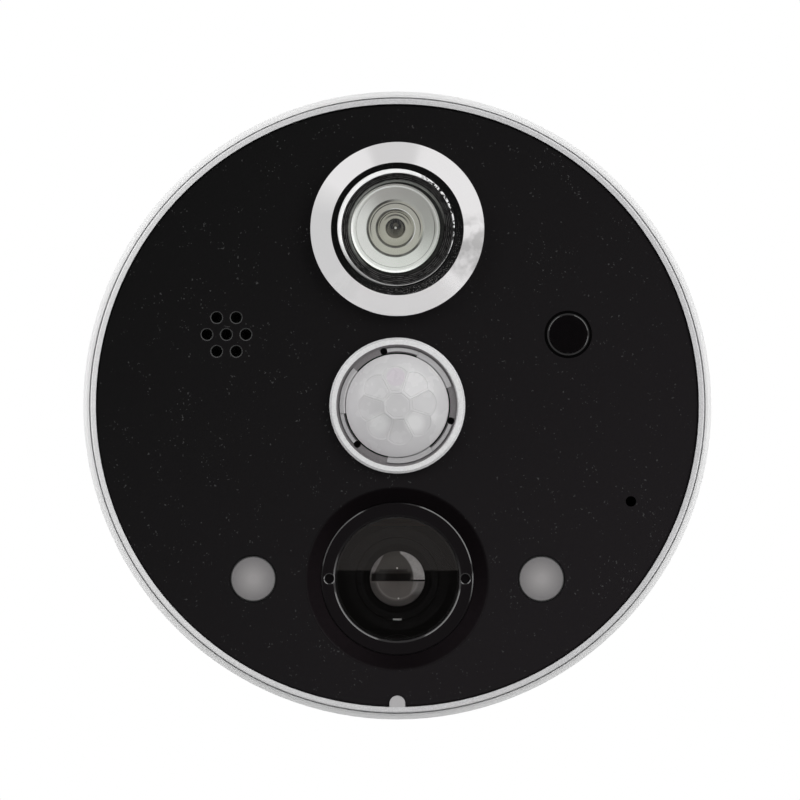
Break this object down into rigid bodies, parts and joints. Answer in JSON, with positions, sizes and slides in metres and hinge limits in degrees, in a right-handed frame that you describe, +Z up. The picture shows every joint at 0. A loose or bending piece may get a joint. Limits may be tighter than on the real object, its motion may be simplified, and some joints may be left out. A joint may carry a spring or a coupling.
{
  "type": "door viewer camera outdoor unit",
  "caption": "Round silver and black outdoor unit of a door viewer camera, with a glass door viewer, a motion detector, a camera between infrared lamps and a call button.",
  "frame": {"origin": "centre of the flat back face, where the unit bears on the door", "axes": "+Z up, +Y into the door, the face looks along -Y"},
  "size_m": [0.066, 0.0477, 0.066],
  "materials": {
    "silver_housing": "satin silver paint",
    "black_plate": "matte",
    "black_rubber": "matte",
    "grey_rubber": "matte",
    "screw_steel": "plated",
    "viewer_metal": "satin plated",
    "viewer_black": "matte",
    "clear_glass": "polished",
    "milky_plastic": "milky satin",
    "frosted_plastic": "frosted",
    "lamp_resin": "clear",
    "sensor_can": "plated",
    "sensor_filter": "polished",
    "white_plastic": "plain",
    "camera_black": "matte",
    "chip_black": "plain",
    "board_green": "lacquered",
    "flex_amber": "film",
    "mesh_steel": "blackened",
    "magnet_steel": "plated",
    "copper": "wire and contacts",
    "cone_film": "film",
    "button_black": "glossy"
  },
  "bodies": {
    "housing": {"rear_housing": "silver_housing", "front_housing": "silver_housing", "face_plate": "black_plate", "door_gasket": "black_rubber", "camera_seal": "black_rubber", "speaker_gasket": "black_rubber", "mic_boot": "black_rubber", "housing_seal": "grey_rubber", "housing_screws": "screw_steel", "board_screws": "screw_steel", "camera_screws": "screw_steel", "viewer_barrel": "viewer_metal", "viewer_nut": "viewer_metal", "viewer_lens_ring": "viewer_black", "viewer_spacer": "viewer_black", "viewer_objective_lens": "clear_glass", "viewer_second_lens": "clear_glass", "viewer_rear_lens": "clear_glass", "camera_window": "clear_glass", "camera_front_lens": "clear_glass", "camera_rear_lens": "clear_glass", "detector_lens": "milky_plastic", "infrared_window_left": "frosted_plastic", "infrared_window_right": "frosted_plastic", "infrared_led_left": "lamp_resin", "infrared_led_right": "lamp_resin", "motion_sensor": "sensor_can", "mic_capsule": "sensor_can", "sensor_filter": "sensor_filter", "sensor_spacer": "white_plastic", "cable_connector": "white_plastic", "camera_ring": "camera_black", "camera_lens_barrel": "camera_black", "camera_lens_holder": "camera_black", "speaker_frame": "camera_black", "switch_body": "camera_black", "image_sensor": "chip_black", "board_chips": "chip_black", "main_board": "board_green", "camera_board": "board_green", "camera_flex": "flex_amber", "speaker_mesh": "mesh_steel", "speaker_magnet": "magnet_steel", "switch_dome": "magnet_steel", "speaker_coil": "copper", "speaker_contacts": "copper", "speaker_cone": "cone_film"},
    "button": {"button_cap": "button_black", "switch_plunger": "white_plastic"}
  },
  "joints": [
    {"name": "button_press", "type": "slide", "parent": "housing", "child": "button", "axis": [0, 1, 0], "range_m": [0, 0.0005], "stiffness_N_per_m": 1500, "springref_m": -0.0002, "deforming": ["switch_dome"]}
  ]
}
